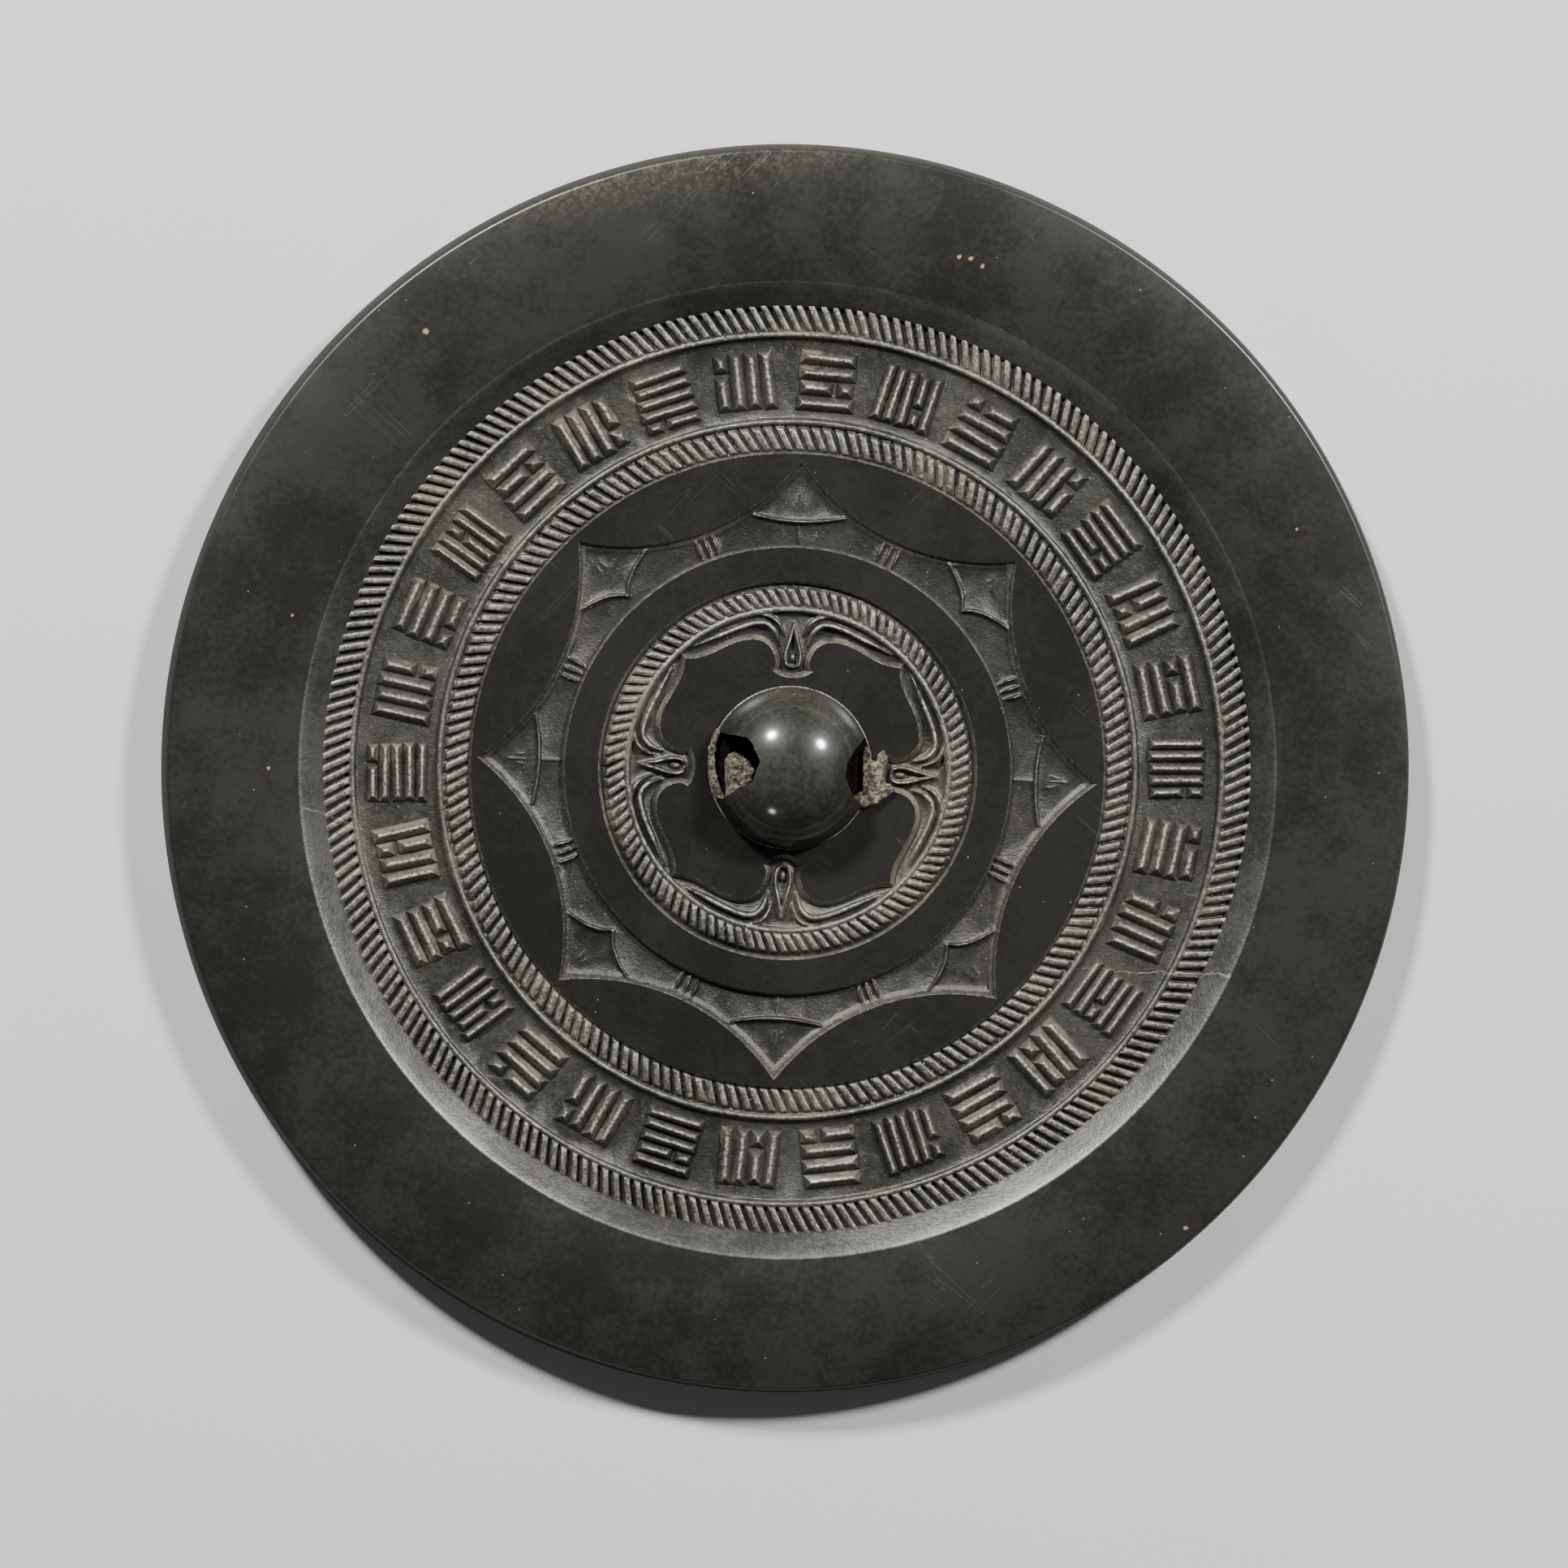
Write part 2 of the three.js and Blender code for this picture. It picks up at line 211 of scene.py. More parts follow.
def makeHippedBar(length, width, height, crest, hip, lean=0.0):
    # a roof-shaped bar lying along X, its base a little under the ground; comb teeth and strokes share it
    base = levels["buried"]
    knee = levels["ground"] - 0.02  # the sides slope above this level, and are upright below it
    top = levels["ground"] + height
    bpy.ops.mesh.primitive_cube_add(size=1, location=(0, 0, (base + top) / 2))
    block = bpy.context.object
    block.data.materials.append(castBronze)
    block.scale = (length, width, top - base)
    settle(block)
    editFaces(block, lambda face: face.normal.z > 0.9)
    share = ((length - 2 * hip) / length, crest / width, 1)
    bpy.ops.transform.resize(value=share, center_override=(0, 0, top))
    bpy.ops.transform.translate(value=(0, lean, 0))
    bpy.ops.object.mode_set(mode="OBJECT")
    for corner in block.data.vertices:
        corner.co.z = max(corner.co.z, knee)
    editFaces(block, lambda face: face.normal.z < -0.9)
    bpy.ops.mesh.extrude_region_move(TRANSFORM_OT_translate={"value": (0, 0, base - knee)})
    bpy.ops.object.mode_set(mode="OBJECT")
    return block


def play(dice, most):
    return dice.uniform(-1, 1) * most


# each ring's radii, its teeth, their slant in degrees, and the share of the pitch that a tooth fills
combs = [
    {"outer": 57.9, "inner": 53.85, "teeth": 241, "slant": 25.4, "fill": 0.82},
    {"outer": 42.65, "inner": 39.2, "teeth": 180, "slant": 25.2, "fill": 0.92},
    {"outer": 22.85, "inner": 19.95, "teeth": 106, "slant": 27.1, "fill": 0.93},
]
tooth = {"height": 0.74, "crest": 0.6, "hip": 0.55, "lean": 0.1, "anglePlay": 0.04, "widthPlay": 0.05,
         "lengthPlay": 0.04, "turnPlay": 0.9, "seed": 11}


def makeTeeth():
    dice = random.Random(tooth["seed"])
    made = []
    for ring in combs:
        middle = (ring["outer"] + ring["inner"]) / 2
        pitch = 2 * math.pi * middle / ring["teeth"]
        slant = math.radians(ring["slant"])
        length = (ring["outer"] - ring["inner"]) / math.cos(slant)
        width = pitch * math.cos(slant) * ring["fill"]
        model = makeHippedBar(length, width, tooth["height"], width * tooth["crest"], tooth["hip"],
                              tooth["lean"])
        for corner in model.data.vertices:  # both ends follow the ring
            corner.co.x += corner.co.y * math.tan(slant)
        for k in range(ring["teeth"]):
            angle = 2 * math.pi * (k + 0.5 + play(dice, tooth["anglePlay"])) / ring["teeth"]
            turn = angle + slant + math.radians(play(dice, tooth["turnPlay"]))
            size = (1 + play(dice, tooth["lengthPlay"]), 1 + play(dice, tooth["widthPlay"]), 1)
            made.append(addCopy(model, onCircle(middle, angle), turn, size))
        bpy.data.objects.remove(model)
    print("comb teeth:", len(made))
    return made


cells = {"count": 30, "radius": 48.2, "size": 7.6, "turn": 2.8, "notch": 0.14, "gap": 0.3, "seed": 5}
stroke = {"height": 1.0, "crest": 0.12, "hip": 0.5, "shortest": 0.1, "overlap": 0.04, "endPlay": 0.25,
          "turnPlay": 1.5, "round": 0.06, "roundedFrom": 50}


def cellBars(cell, dice):
    # parallel rows of one cell, one of them broken by a notch: middle, place across, length and width
    # of each ridge
    size = cells["size"]
    rows = 5 if cell % 3 == 0 else 4
    width = size / rows + stroke["overlap"]
    pitch = (size - width) / (rows - 1)
    brokenRow = cell % 5 % rows
    notch = size * cells["notch"] * (1 if cell % 4 < 2 else -1)
    bars = []
    for row in range(rows):
        across = (row - (rows - 1) / 2) * pitch
        start = -size / 2 + dice.uniform(0, stroke["endPlay"])
        end = size / 2 - dice.uniform(0, stroke["endPlay"])
        breaks = [start, notch, end] if row == brokenRow else [start, end]
        for low, high in zip(breaks, breaks[1:]):
            bars.append(((low + high) / 2, across, high - low - cells["gap"] * (len(breaks) - 2), width))
    return bars


def makeStrokes():
    # cells of plain strokes that carry no letters; even and odd rows are joined apart, so that no
    # layer overlaps itself
    dice = random.Random(cells["seed"])
    layers = ([], [])
    for cell in range(cells["count"]):
        angle = 2 * math.pi * cell / cells["count"] + math.radians(cells["turn"])
        spin = angle + math.pi / 2 * (cell % 2)
        bars = cellBars(cell, dice)
        places = sorted({across for middle, across, length, width in bars})
        for middle, across, length, width in bars:
            bar = makeHippedBar(length, width, stroke["height"], stroke["crest"],
                                min(stroke["hip"] * width, length / 2 - stroke["shortest"]))
            bar.rotation_euler = (0, 0, spin + math.radians(play(dice, stroke["turnPlay"])))
            offset = Vector((middle, across, 0))
            offset.rotate(Matrix.Rotation(spin, 3, "Z"))
            bar.location = onCircle(cells["radius"], angle) + offset
            layers[places.index(across) % 2].append(bar)
    print("strokes:", sum(len(bars) for bars in layers))
    even, odd = [settle(joined(bars, "strokes")) for bars in layers]
    strokes = cutOrJoin(even, odd, "UNION")
    useModifier(strokes, "BEVEL", width=stroke["round"], segments=1, limit_method="ANGLE",
                angle_limit=math.radians(stroke["roundedFrom"]))
    return strokes


ridges = {"radii": (53.8, 43.05, 19.9), "width": 0.9, "height": 0.74}


def makeRidges():
    made = []
    for radius in ridges["radii"]:
        bpy.ops.mesh.primitive_torus_add(
            major_radius=radius, minor_radius=ridges["width"] / 2, major_segments=320, minor_segments=16,
            location=(0, 0, levels["ground"]))
        ring = bpy.context.object
        ring.scale = (1, 1, 2 * ridges["height"] / ridges["width"])
        made.append(ring)
    return made


def makeLine(points, width, height, ends=0.4):
    # a rounded raised line on the ground, through Bezier points given as (place, handle before, handle
    # after), with its two ends thinned to a share
    curve = bpy.data.curves.new("line", "CURVE")
    curve.dimensions = "3D"
    curve.resolution_u = 16
    curve.bevel_depth = width / 2
    curve.bevel_resolution = 4
    curve.use_fill_caps = True
    spline = curve.splines.new("BEZIER")
    spline.bezier_points.add(len(points) - 1)
    for k, (point, (place, before, after)) in enumerate(zip(spline.bezier_points, points)):
        point.co = (*place, 0)
        point.handle_left = (*before, 0)
        point.handle_right = (*after, 0)
        point.radius = ends if k in (0, len(points) - 1) else 1
    line = bpy.data.objects.new("line", curve)
    bpy.context.collection.objects.link(line)
    take(line)
    bpy.ops.object.convert(target="MESH")
    line = bpy.context.object
    line.scale = (1, 1, 2 * height / width)
    line.location = (0, 0, levels["ground"])
    return settle(line)


def turnedCopies(lines, count, start=0, skipped=()):
    # the same lines at every turn round the axis but the skipped ones
    made = []
    for k in range(count):
        for line in () if k in skipped else lines:
            made.append(addCopy(line, (0, 0, 0), start + 2 * math.pi * k / count))
    for line in lines:
        bpy.data.objects.remove(line)
    return made


def straight(start, end):
    third = ((end[0] - start[0]) / 3, (end[1] - start[1]) / 3)
    a = (start[0] + third[0], start[1] + third[1])
    b = (end[0] - third[0], end[1] - third[1])
    return [(start, start, a), (end, b, end)]


def bowed(start, control, end, parts=2):
    # a quadratic bow given as cubic handles, split so that the middle keeps full width
    made = []
    for k in range(parts + 1):
        t = k / parts
        place = [(1 - t) ** 2 * a + 2 * t * (1 - t) * c + t * t * b for a, c, b in zip(start, control, end)]
        slope = [2 * (1 - t) * (c - a) + 2 * t * (b - c) for a, c, b in zip(start, control, end)]
        reach = 1 / (3 * parts)
        before = [p - s * reach for p, s in zip(place, slope)]
        after = [p + s * reach for p, s in zip(place, slope)]
        made.append((place, before, after))
    return made


# marks of the star-shaped ground between the linked arcs and the plain ring, drawn round +Y
star = {
    "line": 0.42, "rise": 0.54,
    "spoke": ((0, 28.0), (0, 30.4)),
    "chord": ((-5.6, 31.4), (0, 30.1), (5.6, 31.4)),
    "bow": ((5.5, 31.9), (1.2, 31.2), (0, 29.1)),
    "rib": ((1, 27.9), (1.25, 29.2), (1.1, 31.2)), "ribPlaces": (-0.95, 0, 0.95),  # x is a share of the place
    "axisTicks": {"places": (-0.7, 0, 0.8), "low": 32.4, "high": 34.6, "gather": 0.5},
    "diagonalTicks": {"places": (-0.6, 0.5), "low": 33.4, "high": 35.6, "gather": 0.4},
}


def makeTicks(ticks):
    # short strokes in a point of the star, drawn together towards its tip
    made = []
    for x in ticks["places"]:
        tip = (x * ticks["gather"], ticks["high"] - abs(x))
        made.append(makeLine(straight((x, ticks["low"]), tip), star["line"] * 0.6, star["rise"] * 0.7))
    return made


def makeStarMarks():
    line, rise = star["line"], star["rise"]
    spoke = makeLine(straight(*star["spoke"]), line * 1.4, rise)
    chord = makeLine(bowed(*star["chord"]), line * 1.2, rise * 1.2, ends=0.8)
    axisMarks = turnedCopies([spoke, chord, *makeTicks(star["axisTicks"])], 4)
    bows = [makeLine(bowed(*[(side * x, y) for x, y in star["bow"]]), line * 1.2, rise * 1.2, ends=0.8)
            for side in (-1, 1)]
    diagonalMarks = turnedCopies([*bows, *makeTicks(star["diagonalTicks"])], 4, math.pi / 4)
    ribs = [makeLine(bowed(*[(place * share, y) for share, y in star["rib"]]), line * 1.1, rise)
            for place in star["ribPlaces"]]
    arcMarks = turnedCopies(ribs, arcs["count"], math.pi / arcs["count"])
    return axisMarks + diagonalMarks + arcMarks


swell = {"width": 1.3, "rise": 0.32, "parts": 4}


def makeSwells():
    # the ground rises softly towards each of the linked arcs
    half = math.pi / arcs["count"]
    reach = arcs["tip"] * math.sin(half)
    foot = arcs["tip"] * math.cos(half)
    bow = bowed((-reach, foot), (0, 2 * arcs["crest"] - foot), (reach, foot), swell["parts"])
    return turnedCopies([makeLine(bow, swell["width"], swell["rise"], ends=1)], arcs["count"], half)


# the leaf on +Y: the lines of its right half, which are mirrored, the seed inside the drop, and how far
# the leaf below the knob stretches in
leaf = {
    "lines": (
        {"places": ((12.5, 14.7), (9.0, 16.35), (5.9, 17.7), (3.8, 18.1), (2.4, 17.2), (1.75, 15.4)),
         "width": 0.8, "ends": 0.3},
        {"places": ((4.6, 19.1), (3.0, 18.9), (1.9, 18.1), (1.2, 16.6)),
         "width": 0.6, "ends": 0.3},
        {"places": ((0, 18.4), (0.4, 16.4), (0.92, 14.4), (0.75, 13.1), (0, 12.75)),
         "width": 0.5, "ends": 0.6},
    ),
    "seed": {"place": (0, 13.9), "radius": 0.4, "size": (1, 1.7, 1.6)},
    "rise": 0.87, "smoothness": 0.17, "root": 18.4, "halfSpan": 5, "stretch": 0.17,
}


def throughPoints(places):
    # a smooth line through the places: each handle runs along the line between the neighbours
    made = []
    for k, (x, y) in enumerate(places):
        before = places[max(k - 1, 0)]
        after = places[min(k + 1, len(places) - 1)]
        slopeX, slopeY = [(b - a) * leaf["smoothness"] for a, b in zip(before, after)]
        made.append(((x, y), (x - slopeX, y - slopeY), (x + slopeX, y + slopeY)))
    return made


def reachIn(place, stretch):
    # draws a place of a leaf towards the knob, most of all on the leaf's middle line
    x, y = place
    return x, y - (leaf["root"] - y) * stretch * max(0, 1 - abs(x) / leaf["halfSpan"])


def makeLeaf(stretch):
    # scrolls, drop and seed of the leaf on +Y
    made = []
    for side in (1, -1):
        for line in leaf["lines"]:
            places = [reachIn((side * x, y), stretch) for x, y in line["places"]]
            made.append(makeLine(throughPoints(places), line["width"], leaf["rise"], line["ends"]))
    seed = leaf["seed"]
    bpy.ops.mesh.primitive_uv_sphere_add(segments=16, ring_count=8, radius=seed["radius"],
                                         location=(*reachIn(seed["place"], stretch), levels["ground"]))
    grain = bpy.context.object
    grain.scale = seed["size"]
    return [*made, settle(grain)]


def makeLeaves():
    # three leaves alike, and the one below the knob, which reaches further in
    alike = turnedCopies(makeLeaf(0), 4, skipped=(2,))
    return alike + turnedCopies(makeLeaf(leaf["stretch"]), 1, math.pi)


# the cast ground: everything in low relief is melted into one skin
ground = {"radius": 58.3, "low": 1, "voxel": 0.13, "flatMerge": 0.02, "triangles": 132000,
          "softness": 0.5, "unevenness": {"scale": 1.1, "strength": 0.05}}


def makeGround():
    bpy.ops.mesh.primitive_cylinder_add(
        vertices=256, radius=ground["radius"], depth=levels["ground"] - ground["low"],
        location=(0, 0, (levels["ground"] + ground["low"]) / 2))
    plate = bpy.context.object
    plate.data.materials.append(castBronze)
    relief = makeTeeth() + makeRidges() + makeSwells() + makeStarMarks() + makeLeaves()
    plate = settle(joined([plate, *relief], "ground"))
    useModifier(plate, "REMESH", mode="VOXEL", voxel_size=ground["voxel"], adaptivity=ground["flatMerge"])
    print("ground remeshed:", len(plate.data.polygons))
    useModifier(plate, "SMOOTH", factor=ground["softness"], iterations=1)
    roughen(plate, **ground["unevenness"])
    count = sum(len(face.vertices) - 2 for face in plate.data.polygons)
    useModifier(plate, "DECIMATE", ratio=ground["triangles"] / count)
    print("ground finished:", len(plate.data.polygons))
    return plate


def makeFlat(outlines, name, edge, fall, inside=1.0):
    # a filled outline whose edges slope over a width of edge, this share of it inside, while dropping by fall
    squash = fall / edge
    depth = (levels["flat"] - levels["buried"]) / squash
    curve = bpy.data.curves.new(name, "CURVE")
    curve.dimensions = "2D"
    curve.fill_mode = "BOTH"
    curve.extrude = depth / 2 - edge
    curve.bevel_depth = edge
    curve.bevel_resolution = 0
    curve.offset = -edge * inside
    for outline in outlines:
        spline = curve.splines.new("POLY")
        spline.points.add(len(outline) - 1)
        for point, place in zip(spline.points, outline):
            point.co = (place[0], place[1], 0, 1)
        spline.use_cyclic_u = True
    flat = bpy.data.objects.new(name, curve)
    bpy.context.collection.objects.link(flat)
    take(flat)
    bpy.ops.object.convert(target="MESH")
    flat = bpy.context.object
    flat.scale = (1, 1, squash)
    flat.location = (0, 0, levels["flat"] - depth * squash / 2)
    settle(flat)
    bpy.ops.object.mode_set(mode="EDIT")
    bpy.ops.mesh.select_all(action="SELECT")
    bpy.ops.mesh.remove_doubles(threshold=0.001)
    bpy.ops.mesh.normals_make_consistent(inside=False)
    bpy.ops.object.mode_set(mode="OBJECT")
    return flat


def circleOutline(radius, sides=256):
    return [onCircle(radius, 2 * math.pi * k / sides)[:2] for k in range(sides)]


arcs = {"count": 8, "outer": 39.5, "tip": 37.8, "crest": 30.9, "steps": 24}
plainRing = {"outer": 27.9, "inner": 23.1}


def arcOutline():
    # eight arcs bowing towards the knob between outward tips
    half = math.pi / arcs["count"]
    halfChord = arcs["tip"] * math.sin(half)
    bow = arcs["tip"] * math.cos(half) - arcs["crest"]
    bend = (halfChord ** 2 + bow ** 2) / (2 * bow)
    sweep = math.asin(halfChord / bend)
    line = []
    for arc in range(arcs["count"]):
        turn = (2 * arc + 1) * half
        for step in range(arcs["steps"]):
            swing = sweep * (1 - 2 * step / arcs["steps"])
            along = arcs["crest"] + bend * (1 - math.cos(swing))
            across = -bend * math.sin(swing)
            line.append((along * math.cos(turn) - across * math.sin(turn),
                         along * math.sin(turn) + across * math.cos(turn)))
    return line


# half of the gap between two petals, in to the foot of the leaf on +Y: cubic curves, each with its steps
petalCurves = (
    ((13.3, 13.3), (10.2, 13.1), (8, 16), (5, 16.05), 8),
    ((5, 16.05), (3.4, 16.1), (2.3, 15), (2.05, 13.4), 6),
    ((2.05, 13.4), (2.0, 13.0), (2.1, 12.7), (2.45, 12.3), 3),
    ((2.45, 12.3), (1.9, 11.8), (1.1, 11.5), (0, 11.5), 4),
)


def onCubic(curve, t):
    return tuple((1 - t) ** 3 * p + 3 * t * (1 - t) ** 2 * q + 3 * t * t * (1 - t) * r + t ** 3 * s
                 for p, q, r, s in zip(*curve))


def petalOutline():
    # the half gap is mirrored, and its four turns make the outline
    half = [onCubic(curve, k / steps) for *curve, steps in petalCurves for k in range(steps)]
    quarter = half + [petalCurves[-1][3]] + [(-x, y) for x, y in reversed(half[1:])]
    line = []
    for k in range(4):
        cos, sin = math.cos(math.pi / 2 * k), math.sin(math.pi / 2 * k)
        stretch = leaf["stretch"] if k == 2 else 0
        for place in quarter:
            x, y = reachIn(place, stretch)
            line.append((x * cos - y * sin, x * sin + y * cos))
    return line


knob = {"radius": 10, "centre": (0.25, 0.35), "segments": 96, "rings": 64, "foot": 0.065, "footGap": 0.05}
cordHole = {"halfWidth": 4.2, "height": 6.2, "length": 26, "floor": 0.3, "voxel": 0.35,
            "wall": {"scale": 1.6, "strength": 0.3, "detail": 2}}
# the left mouth, where the roof over the cord has worn and broken away
brokenMouth = {
    "outline": ((-12, 4.5), (-5.6, 3.7), (-4.1, 1.1), (-4.8, -1.5), (-6.4, -2.6), (-8.7, -4.8), (-12, -4.8)),
    "low": 5.8, "high": 14.8, "voxel": 0.3,
    "wall": {"scale": 1.1, "strength": 0.5, "detail": 2},
}


def makeKnobFoot():
    # the thin line where the knob meets the petals, lightened in the cast skin as wear and painted highlight
    bpy.ops.mesh.primitive_torus_add(
        major_radius=knob["radius"] + knob["footGap"], minor_radius=knob["foot"], major_segments=128,
        minor_segments=12, location=(0, 0, levels["flat"]))
    foot = bpy.context.object
    foot.data.materials.append(castBronze)
    return settle(foot)


def makeTunnel():
    # the arched passage of the cord, along X
    low = levels["flat"] + cordHole["floor"]
    bpy.ops.mesh.primitive_cylinder_add(vertices=40, radius=cordHole["halfWidth"], depth=cordHole["length"],
                                        location=(0, 0, low), rotation=(0, math.pi / 2, 0))
    tunnel = settle(bpy.context.object)
    tunnel.scale = (1, 1, cordHole["height"] / cordHole["halfWidth"])
    tunnel.location = (0, 0, low * (1 - tunnel.scale[2]))
    settle(tunnel)
    cutBelow(tunnel, low)
    useModifier(tunnel, "REMESH", mode="VOXEL", voxel_size=cordHole["voxel"])
    refine(tunnel)
    roughen(tunnel, **cordHole["wall"])
    return tunnel


def makeBrokenMouth():
    chip = makePrism(brokenMouth["outline"], brokenMouth["low"], brokenMouth["high"])
    useModifier(chip, "REMESH", mode="VOXEL", voxel_size=brokenMouth["voxel"])
    refine(chip)
    roughen(chip, **brokenMouth["wall"])
    return chip


def makeKnob():
    bpy.ops.mesh.primitive_uv_sphere_add(
        segments=knob["segments"], ring_count=knob["rings"], radius=knob["radius"],
        location=(0, 0, levels["flat"]))
    dome = bpy.context.object
    dome.scale = (1, 1, (levels["knobTop"] - levels["flat"]) / knob["radius"])
    settle(dome)
    cutBelow(dome, levels["buried"])
    dome.data.materials.append(knobBronze)
    cutOrJoin(dome, makeKnobFoot(), "UNION")
    for hollow in (makeTunnel(), makeBrokenMouth()):
        hollow.data.materials.append(holeEarthAndShade)
        cutOrJoin(dome, hollow, "DIFFERENCE")
    dome.name = "knob"
    dome.location = (*knob["centre"], 0)
    return settle(dome)


# soil caked in and beside the cord hole
soil = {
    "voxel": 0.1,
    "lumps": {"scale": 0.8, "strength": 0.5},
    "grit": {"scale": 0.15, "strength": 0.42},
}
# outline of each patch from the middle of the knob, its levels, and how far its top shrinks and leans
soilPatches = {
    "soil-out": {
        "outline": ((8.95, 2.1), (9.2, 3.2), (9.9, 2.6), (10.0, 1.5), (10.7, 1.3), (11.0, 2.3), (11.6, 2.7),
                    (12.0, 2.0), (11.6, 0.6), (11.6, -1.0), (13.2, -2.0), (12.1, -3.2), (10.9, -4.2),
                    (9.6, -4.7), (7.5, -4.2), (7.8, -3.4), (9.1, -2.6)),
        "low": 3.0, "high": 4.4, "share": 0.93, "lean": (-0.2, 0)},
    "soil-in": {
        "outline": ((-8.2, 0.9), (-7.0, 1.9), (-5.4, 1.2), (-4.5, -0.2), (-4.6, -1.4), (-6.2, -3.2),
                    (-7.9, -4.2), (-8.0, -1.6)),
        "low": 3.4, "high": 6.4, "share": 0.8, "lean": (0.4, -0.2)},
    "soil-rim": {
        "outline": ((-9.5, 4.2), (-8.9, 4.5), (-9.3, 3.0), (-9.5, 0.6), (-9.0, -2.0), (-8.0, -4.2),
                    (-8.6, -5.0), (-9.5, -3.6), (-10.1, -1.0), (-10.2, 2.0)),
        "low": 3.2, "high": 4.5, "share": 0.95, "lean": (0.15, 0)},
}


def makeSoilPatch(name):
    patch = soilPatches[name]
    crust = makePrism(patch["outline"], patch["low"], patch["high"], patch["lean"], patch["share"])
    useModifier(crust, "REMESH", mode="VOXEL", voxel_size=soil["voxel"])
    roughen(crust, **soil["lumps"])
    roughen(crust, **soil["grit"])
    useModifier(crust, "REMESH", mode="VOXEL", voxel_size=soil["voxel"])
    crust.name = name
    crust.data.name = name
    crust.location = Vector((*knob["centre"], 0)) * mm
    crust.scale = (mm, mm, mm)
    return settle(crust)


def addNode(tree, kind, **values):
    node = tree.nodes.new(kind)
    for name, value in values.items():
        if name in node.inputs:
            node.inputs[name].default_value = value
        else:
            setattr(node, name, value)
    return node


def newGroup(name, inputs, outputs):
    group = bpy.data.node_groups.new(name, "ShaderNodeTree")
    for label, kind, value in inputs:
        socket = group.interface.new_socket(label, in_out="INPUT", socket_type=kind)
        socket.default_value = value
    for label, kind in outputs:
        group.interface.new_socket(label, in_out="OUTPUT", socket_type=kind)
    return group, group.nodes.new("NodeGroupInput"), group.nodes.new("NodeGroupOutput")


def ramp(tree, source, *stops):
    # from one colour to another, each given with its place
    node = tree.nodes.new("ShaderNodeValToRGB")
    tree.links.new(source, node.inputs["Fac"])
    for element, (place, color) in zip(node.color_ramp.elements, stops):
        element.position = place
        element.color = (*color, 1)
    return node.outputs["Color"]


def newMaterial(name):
    material = bpy.data.materials.new(name)
    material.use_nodes = True
    tree = material.node_tree
    shader = tree.nodes["Principled BSDF"]
    coords = tree.nodes.new("ShaderNodeTexCoord").outputs["Object"]
    return material, tree, shader, coords


def maths(tree, operation, *inputs):
    node = tree.nodes.new("ShaderNodeMath")
    node.operation = operation
    for socket, value in zip(node.inputs, inputs):
        if isinstance(value, (int, float)):
            socket.default_value = value
        else:
            tree.links.new(value, socket)
    return node.outputs[0]


def mixed(tree, factor, first, second):
    node = tree.nodes.new("ShaderNodeMix")
    node.data_type = "RGBA"
    # the sockets of its factor and its two colours, and then of the colour it gives
    for socket, value in zip((node.inputs[0], node.inputs[6], node.inputs[7]), (factor, first, second)):
        if isinstance(value, (int, float)):
            socket.default_value = value
        elif isinstance(value, tuple):
            socket.default_value = (*value, 1)
        else:
            tree.links.new(value, socket)
    return node.outputs[2]


def between(tree, value, low, high):
    node = addNode(tree, "ShaderNodeMapRange", interpolation_type="SMOOTHSTEP")
    node.inputs["From Min"].default_value = low
    node.inputs["From Max"].default_value = high
    tree.links.new(value, node.inputs["Value"])
    return node.outputs["Result"]


def noise(tree, coords, scale, detail, roughness=0.55):
    node = addNode(tree, "ShaderNodeTexNoise", Scale=scale, Detail=detail, Roughness=roughness)
    tree.links.new(coords, node.inputs["Vector"])
    return node.outputs["Fac"]


def axes(tree, coords):
    node = tree.nodes.new("ShaderNodeSeparateXYZ")
    tree.links.new(coords, node.inputs["Vector"])
    return node.outputs


def wobble(tree, coords, scale, detail, roughness, reach):
    # an uneven shift to either side
    pattern = maths(tree, "SUBTRACT", noise(tree, coords, scale, detail, roughness), 0.5)
    return maths(tree, "MULTIPLY", pattern, reach)


def tinted(tree, color, mask, share, tint):
    # a share of the tint laid over a colour where the mask is
    return mixed(tree, maths(tree, "MULTIPLY", mask, share), color, tint)


def makeMottling():
    # blotches of two tones in two sizes, with a fine grain over them
    group, entry, result = newGroup(
        "mottling",
        [("Vector", "NodeSocketVector", (0, 0, 0)), ("Dark", "NodeSocketColor", (0, 0, 0, 1)),
         ("Light", "NodeSocketColor", (1, 1, 1, 1))],
        [("Color", "NodeSocketColor"), ("Mask", "NodeSocketFloat")])
    total = 0.0
    for scale, detail, roughness, share in ((42, 3, 0.55, 0.36), (150, 6, 0.65, 0.32), (1300, 4, 0.7, 0.32)):
        pattern = noise(group, entry.outputs["Vector"], scale, detail, roughness)
        total = maths(group, "ADD", maths(group, "MULTIPLY", pattern, share), total)
    mask = between(group, total, 0.42, 0.58)
    group.links.new(mask, result.inputs["Mask"])
    group.links.new(mixed(group, mask, entry.outputs["Dark"], entry.outputs["Light"]), result.inputs["Color"])
    return group


